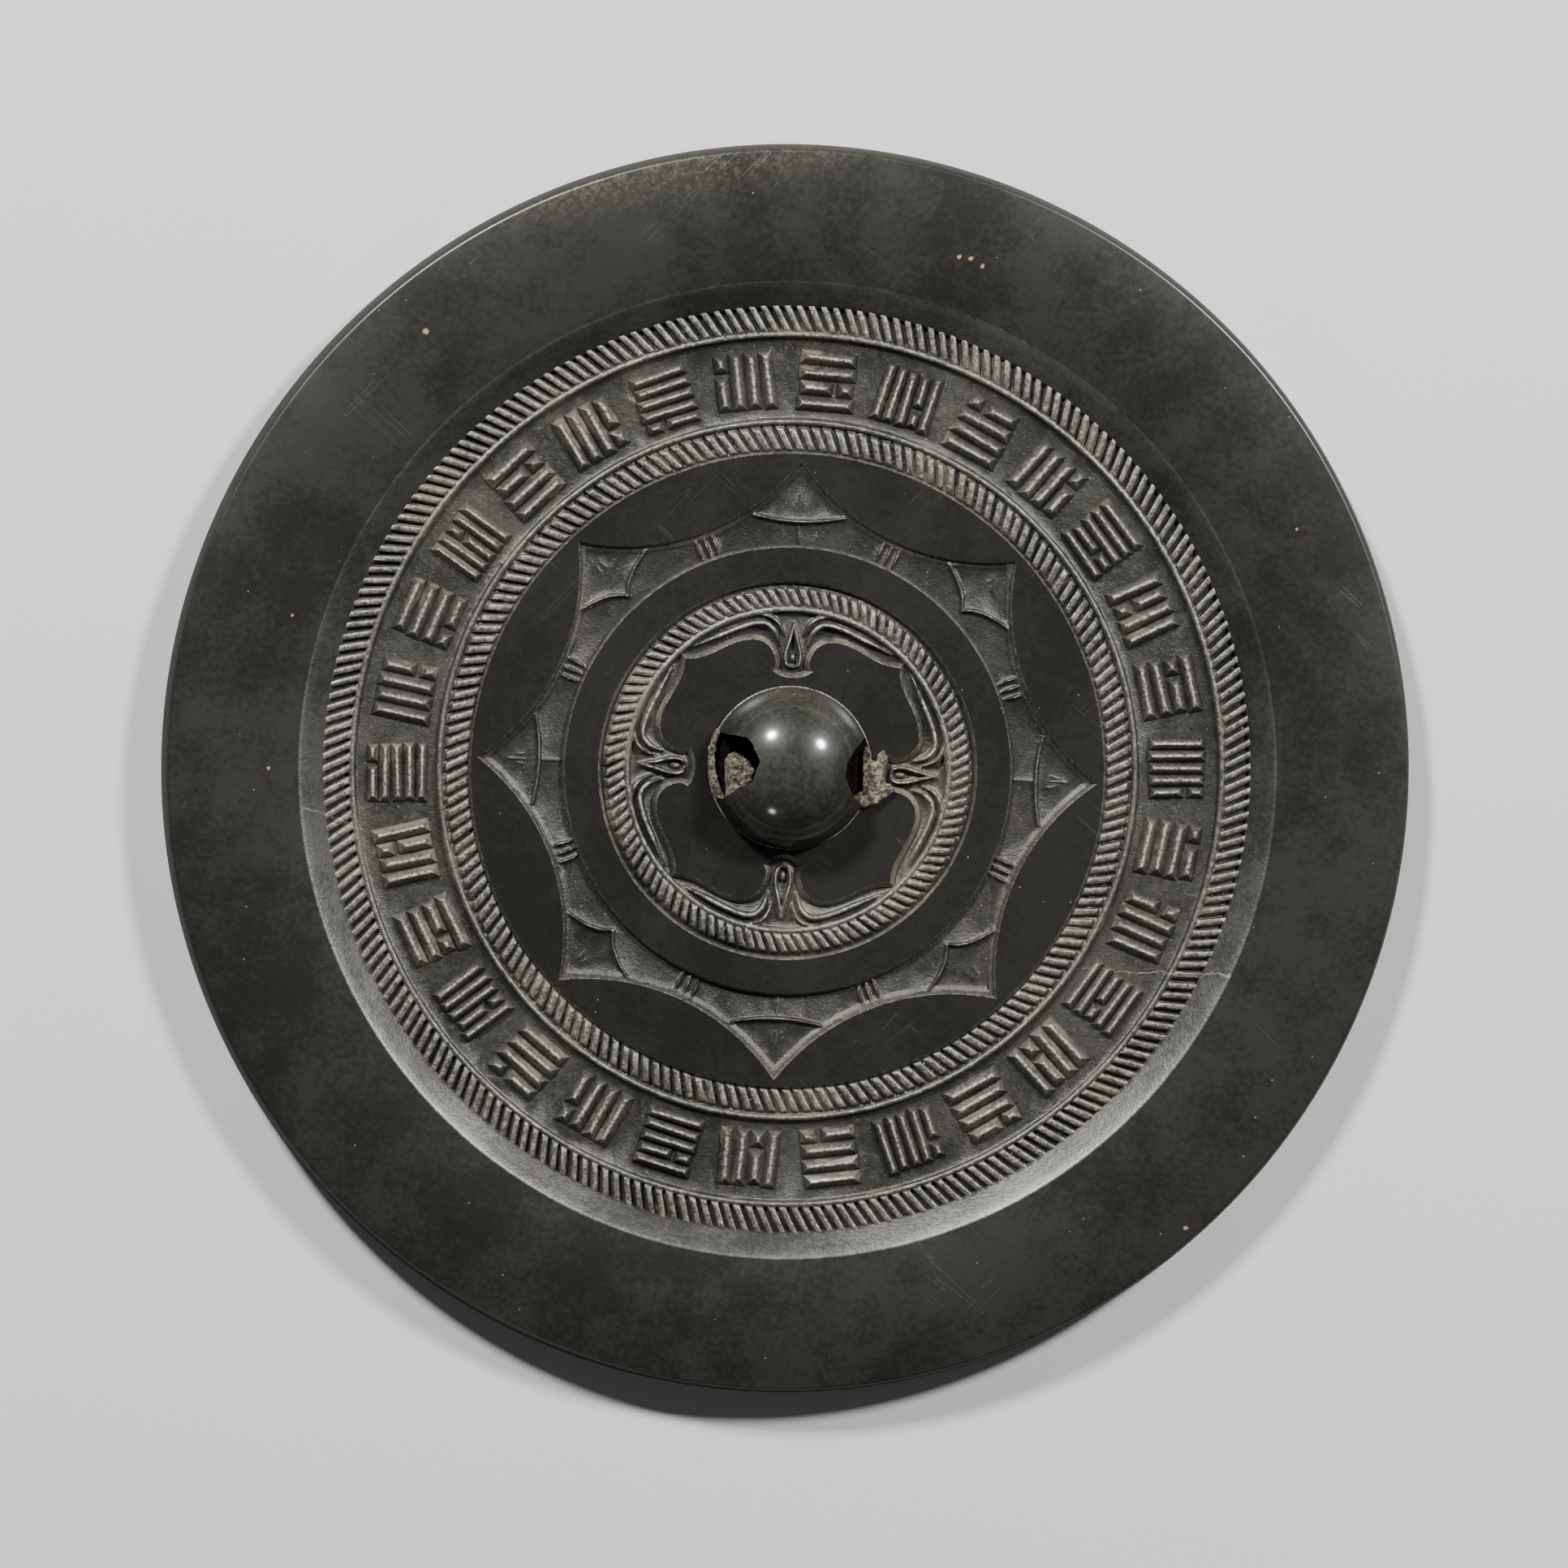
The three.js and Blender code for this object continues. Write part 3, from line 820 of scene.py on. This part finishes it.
def makeSpecks():
    # sparse small dots: only a share of the cells holds one
    group, entry, result = newGroup(
        "specks",
        [("Vector", "NodeSocketVector", (0, 0, 0)), ("Scale", "NodeSocketFloat", 300.0),
         ("Share", "NodeSocketFloat", 0.1), ("Size", "NodeSocketFloat", 0.12)],
        [("Mask", "NodeSocketFloat")])
    cellular = addNode(group, "ShaderNodeTexVoronoi")
    group.links.new(entry.outputs["Vector"], cellular.inputs["Vector"])
    group.links.new(entry.outputs["Scale"], cellular.inputs["Scale"])
    cell = group.nodes.new("ShaderNodeSeparateColor")
    group.links.new(cellular.outputs["Color"], cell.inputs["Color"])
    chosen = maths(group, "LESS_THAN", cell.outputs["Red"], entry.outputs["Share"])
    small = maths(group, "LESS_THAN", cellular.outputs["Distance"],
                  maths(group, "MULTIPLY", entry.outputs["Size"], cell.outputs["Green"]))
    group.links.new(maths(group, "MULTIPLY", chosen, small), result.inputs["Mask"])
    return group


def turnedInput(group, entry):
    # the group's own Vector, turned about the axis by its Turn
    turned = addNode(group, "ShaderNodeVectorRotate", rotation_type="Z_AXIS")
    group.links.new(entry.outputs["Vector"], turned.inputs["Vector"])
    group.links.new(entry.outputs["Turn"], turned.inputs["Angle"])
    return turned.outputs["Vector"]


def makeScratches():
    # hairlines: thin bands of a stretched noise, kept only here and there
    group, entry, result = newGroup(
        "scratches",
        [("Vector", "NodeSocketVector", (0, 0, 0)), ("Turn", "NodeSocketFloat", 0.6)],
        [("Mask", "NodeSocketFloat")])
    stretched = addNode(group, "ShaderNodeVectorMath", operation="MULTIPLY")
    stretched.inputs[1].default_value = (0.06, 1, 1)
    group.links.new(turnedInput(group, entry), stretched.inputs[0])
    lines = noise(group, stretched.outputs["Vector"], 420, 2, 0.5)
    thin = maths(group, "COMPARE", lines, 0.62, 0.0025)
    kept = between(group, noise(group, entry.outputs["Vector"], 85, 2), 0.56, 0.66)
    group.links.new(maths(group, "MULTIPLY", thin, kept), result.inputs["Mask"])
    return group


def makeCrack():
    # a jagged hairline crack, which runs along X once the pattern is turned, from Start to End
    group, entry, result = newGroup(
        "crack",
        [("Vector", "NodeSocketVector", (0, 0, 0)), ("Turn", "NodeSocketFloat", 0.0),
         ("Offset", "NodeSocketFloat", 0.0), ("Start", "NodeSocketFloat", 0.0),
         ("End", "NodeSocketFloat", 0.01)],
        [("Mask", "NodeSocketFloat")])
    turned = turnedInput(group, entry)
    place = axes(group, turned)
    aside = maths(group, "SUBTRACT", place["Y"], entry.outputs["Offset"])
    away = maths(group, "SUBTRACT", aside, wobble(group, turned, 330, 4, 0.7, 0.0022))
    line = between(group, maths(group, "ABSOLUTE", away), 0.00012, 0.00004)
    reach = maths(group, "MULTIPLY", maths(group, "GREATER_THAN", place["X"], entry.outputs["Start"]),
                  maths(group, "LESS_THAN", place["X"], entry.outputs["End"]))
    group.links.new(maths(group, "MULTIPLY", line, reach), result.inputs["Mask"])
    return group


def useGroup(tree, group, vector, **values):
    node = tree.nodes.new("ShaderNodeGroup")
    node.node_tree = group
    tree.links.new(vector, node.inputs["Vector"])
    for name, value in values.items():
        node.inputs[name].default_value = (*value, 1) if isinstance(value, tuple) else value
    return node.outputs


def addBump(tree, shader, height, distance, strength):
    bump = addNode(tree, "ShaderNodeBump", Strength=strength, Distance=distance)
    tree.links.new(height, bump.inputs["Height"])
    tree.links.new(bump.outputs["Normal"], shader.inputs["Normal"])


mottling = makeMottling()
specks = makeSpecks()
scratches = makeScratches()
crack = makeCrack()


def crackLines(tree, coords):
    # the two cracks of the band, on its right and on its left
    right = useGroup(tree, crack, coords, Offset=-0.023, Start=0.0368, End=0.0562)["Mask"]
    left = useGroup(tree, crack, coords, Turn=0.3, Offset=-0.0244, Start=-0.0548, End=-0.0468)["Mask"]
    return maths(tree, "MAXIMUM", right, left)


# on the rim: grains of dried earth, each by its angle in degrees, radius and size, and a tan crust near
# the edge at one angle, which sets in between two distances in metres
rimMarks = {
    "grains": ((71.6, 66.6, 0.42), (73.0, 67.0, 0.5), (74.2, 66.8, 0.36), (132.1, 70.2, 0.55),
               (165.1, 64, 0.3), (182.1, 64.1, 0.3), (313.6, 75, 0.42), (243, 71.5, 0.25), (28, 69.5, 0.22)),
    "grainColor": (0.3, 0.22, 0.12),
    "crustAngle": 103, "crustBand": (0.07, 0.0762), "crustShare": 0.4, "crustColor": (0.125, 0.108, 0.066),
}


def addRimMarks(tree, coords, color):
    place = axes(tree, coords)
    angle = math.radians(rimMarks["crustAngle"])
    along = maths(tree, "ADD", maths(tree, "MULTIPLY", place["X"], math.cos(angle)),
                  maths(tree, "MULTIPLY", place["Y"], math.sin(angle)))
    crust = maths(tree, "MULTIPLY", between(tree, along, *rimMarks["crustBand"]),
                  between(tree, noise(tree, coords, 1500, 6, 0.75), 0.46, 0.62))
    color = tinted(tree, color, crust, rimMarks["crustShare"], rimMarks["crustColor"])
    ragged = wobble(tree, coords, 1500, 3, 0.7, 0.0009)
    found = 0.0
    for angle, radius, size in rimMarks["grains"]:
        gap = addNode(tree, "ShaderNodeVectorMath", operation="DISTANCE")
        gap.inputs[1].default_value = onCircle(radius * mm, math.radians(angle), levels["rim"] * mm)
        tree.links.new(coords, gap.inputs[0])
        edge = maths(tree, "ADD", gap.outputs["Value"], ragged)
        found = maths(tree, "MAXIMUM", between(tree, edge, size * 0.8 * mm, size * 0.4 * mm), found)
    return mixed(tree, found, color, rimMarks["grainColor"])


# what all the smooth bronzes share: lighter patina clouds towards the upper left, partly painted sheen on the
# side the key lamp shines from, pale dust and hairline scratches
patina = {
    "cloudSheenShare": 0.27, "cloudSheenLight": 1.8, "cloudSheenBand": (0.035, 0.085),
    "dustScale": 620.0, "dustSize": 0.065, "dustShare": 0.55, "dustColor": (0.36, 0.34, 0.29),
    "hairlineTurns": (0.7, 2.3), "hairlineColor": (0.3, 0.3, 0.27),
}


def makePolished(name, dark, light, roughness, dust, metallic=0.3, grain=0.00002, scored=0.05, marks=None):
    # dark patina ground smooth; dust and scored say how much dust and how strong scratches it has
    material, tree, shader, coords = newMaterial(name)
    mottled = useGroup(tree, mottling, coords, Dark=dark, Light=light)
    place = axes(tree, coords)
    # lighter clouds towards the upper left: patina clouds, and painted sheen on the side the key lamp shines
    # from
    slant = maths(tree, "SUBTRACT", maths(tree, "MULTIPLY", place["Y"], 0.9),
                  maths(tree, "MULTIPLY", place["X"], 0.55))
    cloudsAndSheen = maths(tree, "MULTIPLY", between(tree, slant, *patina["cloudSheenBand"]),
                   between(tree, noise(tree, coords, 110, 8, 0.68), 0.42, 0.62))
    color = tinted(tree, mottled["Color"], cloudsAndSheen, patina["cloudSheenShare"],
                   tuple(patina["cloudSheenLight"] * c for c in light))
    dusty = useGroup(tree, specks, coords, Scale=patina["dustScale"], Share=dust, Size=patina["dustSize"])
    color = tinted(tree, color, dusty["Mask"], patina["dustShare"], patina["dustColor"])
    hairlines = maths(tree, "MAXIMUM", *[useGroup(tree, scratches, coords, Turn=turn)["Mask"]
                                         for turn in patina["hairlineTurns"]])
    color = tinted(tree, color, hairlines, scored, patina["hairlineColor"])
    if marks:
        color = marks(tree, coords, color)
    tree.links.new(color, shader.inputs["Base Color"])
    shader.inputs["Metallic"].default_value = metallic
    rough = maths(tree, "ADD", maths(tree, "MULTIPLY", mottled["Mask"], 0.04), roughness)
    tree.links.new(rough, shader.inputs["Roughness"])
    skin = noise(tree, coords, 2600, 3, 0.6)
    addBump(tree, shader, maths(tree, "SUBTRACT", skin, maths(tree, "MULTIPLY", hairlines, 0.5)), grain, 0.4)
    return material


def addSlopeCracks(tree, coords, color):
    return tinted(tree, color, crackLines(tree, coords), 0.5, (0.36, 0.34, 0.29))


# the cast skin of the relief; each band gives the radii or heights in metres between which it sets in
cast = {
    "dark": (0.02, 0.0195, 0.016), "light": (0.052, 0.05, 0.042),
    "starFrom": (0.0232, 0.0238), "starTo": (0.0397, 0.0391), "starShare": 0.42,
    "starColor": (0.017, 0.0165, 0.0135),
    "unevenness": 0.0005, "wearAndHighlightLow": (0.0027, 0.0033), "wearAndHighlightHigh": (0.00325, 0.0036),
    "wearAndHighlightColor": (0.46, 0.443, 0.38),
    "pitsFrom": (0.00262, 0.0028), "pitsTo": (0.0034, 0.003), "earthShare": 0.5,
    "earthColor": (0.17, 0.135, 0.085),
    "filmShare": 0.15, "filmColor": (0.11, 0.098, 0.072),
    "glintSpeckShare": 0.22, "glintSpeckColor": (0.4, 0.38, 0.32),
    "crackShare": 0.5, "crackColor": (0.26, 0.23, 0.17),
    "metallic": 0.55, "roughness": 0.34,
}


def makeCast(name):
    # rougher cast skin of the relief: crests worn bright and lightened further as painted highlight, tan
    # earth at the feet and in the pits
    material, tree, shader, coords = newMaterial(name)
    mottled = useGroup(tree, mottling, coords, Dark=cast["dark"], Light=cast["light"])
    place = axes(tree, coords)
    radius = maths(tree, "SQRT", maths(tree, "ADD", maths(tree, "POWER", place["X"], 2),
                                       maths(tree, "POWER", place["Y"], 2)))
    starGround = maths(tree, "MULTIPLY", between(tree, radius, *cast["starFrom"]),
                       between(tree, radius, *cast["starTo"]))
    color = tinted(tree, mottled["Color"], starGround, cast["starShare"], cast["starColor"])

    # the higher the relief, the lighter its colour: real wear on the crests, and painted highlight on them
    height = maths(tree, "ADD", place["Z"], wobble(tree, coords, 900, 5, 0.65, cast["unevenness"]))
    rubbedAndLit = maths(tree, "ADD", maths(tree, "MULTIPLY", between(tree, height, *cast["wearAndHighlightLow"]), 0.15),
                   maths(tree, "MULTIPLY", between(tree, height, *cast["wearAndHighlightHigh"]), 0.85))
    grit = between(tree, noise(tree, coords, 2300, 5, 0.75), 0.36, 0.62)
    wornAndLit = maths(tree, "MULTIPLY", rubbedAndLit, maths(tree, "ADD", maths(tree, "MULTIPLY", grit, 0.95), 0.1))
    color = mixed(tree, wornAndLit, color, cast["wearAndHighlightColor"])

    pits = maths(tree, "MULTIPLY", between(tree, height, *cast["pitsFrom"]),
                 between(tree, height, *cast["pitsTo"]))
    patchy = between(tree, noise(tree, coords, 95, 6, 0.7), 0.5, 0.62)
    swept = maths(tree, "SUBTRACT", 1.0, maths(tree, "MULTIPLY", starGround, 0.8))
    earthy = maths(tree, "MULTIPLY", maths(tree, "MULTIPLY", pits, patchy), swept)
    color = tinted(tree, color, earthy, cast["earthShare"], cast["earthColor"])
    film = between(tree, noise(tree, coords, 60, 6, 0.7), 0.5, 0.75)
    color = tinted(tree, color, film, cast["filmShare"], cast["filmColor"])
    # bright specks on the cast skin: painted glints of sparkling grains
    glintSpecks = useGroup(tree, specks, coords, Scale=2300.0, Share=0.16, Size=0.3)
    color = tinted(tree, color, glintSpecks["Mask"], cast["glintSpeckShare"], cast["glintSpeckColor"])
    cracked = crackLines(tree, coords)
    color = tinted(tree, color, cracked, cast["crackShare"], cast["crackColor"])

    tree.links.new(color, shader.inputs["Base Color"])
    shader.inputs["Metallic"].default_value = cast["metallic"]
    rough = maths(tree, "ADD", maths(tree, "MULTIPLY", earthy, 0.4),
                  maths(tree, "ADD", maths(tree, "MULTIPLY", wornAndLit, 0.08), cast["roughness"]))
    tree.links.new(rough, shader.inputs["Roughness"])
    skin = noise(tree, coords, 2900, 4, 0.7)
    addBump(tree, shader, maths(tree, "SUBTRACT", skin, cracked), 0.0001, 0.8)
    return material


def makeEarth(name, dark, light, grain=1800):
    # dry crumbly soil
    material, tree, shader, coords = newMaterial(name)
    crumbs = noise(tree, coords, grain, 6, 0.7)
    tree.links.new(ramp(tree, crumbs, (0.43, dark), (0.65, light)), shader.inputs["Base Color"])
    shader.inputs["Roughness"].default_value = 0.95
    addBump(tree, shader, crumbs, 0.0002, 0.8)
    return material


def finish(material, values):
    # sets constants on the material's shader
    for name, value in values.items():
        material.node_tree.nodes["Principled BSDF"].inputs[name].default_value = value
    return material


rimBronze = makePolished("rimBronze", (0.0088, 0.0086, 0.0067), (0.0168, 0.0162, 0.0127), 0.34, 0.3,
                         scored=0.03, marks=addRimMarks)
sideBronze = makePolished("sideBronze", (0.006, 0.0054, 0.003), (0.015, 0.0135, 0.007), 0.6, 0.2,
                          metallic=0.0, grain=0.00005)
flatBronze = makePolished("flatBronze", (0.0082, 0.0078, 0.0061), (0.0112, 0.0108, 0.0086), 0.32, 0.3,
                          scored=0.03)
slopeBronze = makePolished("slopeBronze", (0.05, 0.048, 0.042), (0.088, 0.0855, 0.0755), 0.4, 0.15,
                           metallic=0.83, grain=0.0001, marks=addSlopeCracks)
faceBronze = makePolished("faceBronze", (0.02, 0.0195, 0.014), (0.04, 0.039, 0.03), 0.25, 0.03)
knobBronze = makePolished("knobBronze", (0.0095, 0.0093, 0.0074), (0.027, 0.0265, 0.0205), 0.42, 0.25,
                          metallic=0.1, scored=0.22)
castBronze = makeCast("castBronze")
# earth in the cord hole, darkened near black as painted shade inside the hole
holeEarthAndShade = makeEarth("holeEarthAndShade", (0.0016, 0.0011, 0.0008), (0.008, 0.0042, 0.0028))
soilEarth = makeEarth("soilEarth", (0.018, 0.015, 0.01), (0.225, 0.2, 0.137), 1700)
finish(sideBronze, {"Specular IOR Level": 0.12})
# the knob is handled smooth over a duller skin
finish(knobBronze, {"Specular IOR Level": 0.16, "Coat Weight": 0.8, "Coat Roughness": 0.13})
finish(holeEarthAndShade, {"Specular IOR Level": 0.08})


def discFinish(face):
    # which of the disc's finishes a face has: rim, slope, polished face or side
    across = math.hypot(face.center.x, face.center.y)
    if face.normal.z < -0.9:
        return 2
    if arcs["outer"] < across < disc["slope"][0][0]:
        return 1
    return 3 if abs(face.normal.z) < 0.5 else 0


mirror = makeDisc()
for bronze in (rimBronze, slopeBronze, faceBronze, sideBronze):
    mirror.data.materials.append(bronze)
for face in mirror.data.polygons:
    face.material_index = discFinish(face)
cutOrJoin(mirror, makeGround(), "UNION")
cutOrJoin(mirror, makeStrokes(), "UNION")
flats = [
    makeFlat([circleOutline(arcs["outer"]), arcOutline()], "arcFlat", edge=0.35, fall=0.45),
    makeFlat([circleOutline(plainRing["outer"]), circleOutline(plainRing["inner"])], "ringFlat",
             edge=0.34, fall=0.45),
    makeFlat([petalOutline()], "petalFlat", edge=0.62, fall=0.62, inside=0.05),
    makeKnob(),
]
for flat in flats:
    if not flat.data.materials:
        flat.data.materials.append(flatBronze)
        flat.data.materials.append(castBronze)
        for face in flat.data.polygons:  # the sloping edges have the skin of the relief
            face.material_index = 1 if face.normal.z < 0.95 else 0
    cutOrJoin(mirror, flat, "UNION")
mirror.scale = (mm, mm, mm)
settle(mirror)
bpy.ops.object.shade_smooth_by_angle(angle=math.radians(35))
print("mirror:", sum(len(face.vertices) - 2 for face in mirror.data.polygons), "triangles",
      [slot.material and slot.material.name for slot in mirror.material_slots])
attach(mirror, "root")
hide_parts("mirror")

for name in soilPatches:
    crust = makeSoilPatch(name)
    crust.data.materials.append(soilEarth)
    bpy.ops.object.shade_smooth_by_angle(angle=math.radians(50))
    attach(crust, "root")
    print(crust.name, len(crust.data.polygons))

clearSelection()
bpy.ops.mesh.primitive_plane_add(size=6, location=(0, 0, 0))
floor = bpy.context.object
floor.name = "floor"
paleFloor = newMaterial("paleFloor")[0]
floor.data.materials.append(finish(paleFloor, {"Base Color": (0.42, 0.42, 0.43, 1), "Roughness": 0.9}))

# the camera's distance, its angles to the left and top in degrees, the width it takes in, and its aim
view = {"distance": 1.2, "left": 2.7, "top": 2.1, "roll": 2.6, "across": 0.193, "down": 0.0016,
        "aside": 0.0005}


def makeCamera():
    # looks down on the lying mirror, a little from its upper left
    left = math.tan(math.radians(view["left"])) * view["distance"]
    up = math.tan(math.radians(view["top"])) * view["distance"]
    rim = levels["rim"] * mm
    data = bpy.data.cameras.new("camera")
    data.sensor_width = 36
    data.lens = data.sensor_width * view["distance"] / view["across"]
    camera = bpy.data.objects.new("camera", data)
    bpy.context.collection.objects.link(camera)
    place = Vector((-left, up, rim + view["distance"]))
    back = (place - Vector((-view["aside"], -view["down"], rim))).normalized()
    across = Vector((0, 1, 0)).cross(back).normalized()
    upward = back.cross(across)
    turn = Matrix((across, upward, back)).transposed() @ Matrix.Rotation(math.radians(view["roll"]), 3, "Z")
    camera.matrix_world = Matrix.Translation(place) @ turn.to_4x4()
    bpy.context.scene.camera = camera


# each light's direction and height in degrees, its width and its power, all at one distance
lights = {"keyLeft": (122, 40, 0.16, 29), "keyRight": (41, 40, 0.16, 25), "fill": (250, 28, 0.12, 0.9)}
lightDistance = 1.1


def addLight(name, azimuth, lift, size, watts):
    data = bpy.data.lights.new(name, "AREA")
    data.shape = "DISK"
    data.size = size
    data.energy = watts
    lamp = bpy.data.objects.new(name, data)
    bpy.context.collection.objects.link(lamp)
    lift = math.radians(lift)
    lamp.location = onCircle(lightDistance * math.cos(lift), math.radians(azimuth),
                             lightDistance * math.sin(lift))
    lamp.rotation_euler = (-lamp.location).to_track_quat("-Z", "Y").to_euler()


makeCamera()
for name, values in lights.items():
    addLight(name, *values)
world = bpy.data.worlds.new("studio")
world.use_nodes = True
world.node_tree.nodes["Background"].inputs["Color"].default_value = (0.95, 0.94, 0.92, 1)
world.node_tree.nodes["Background"].inputs["Strength"].default_value = 0.07
bpy.context.scene.world = world
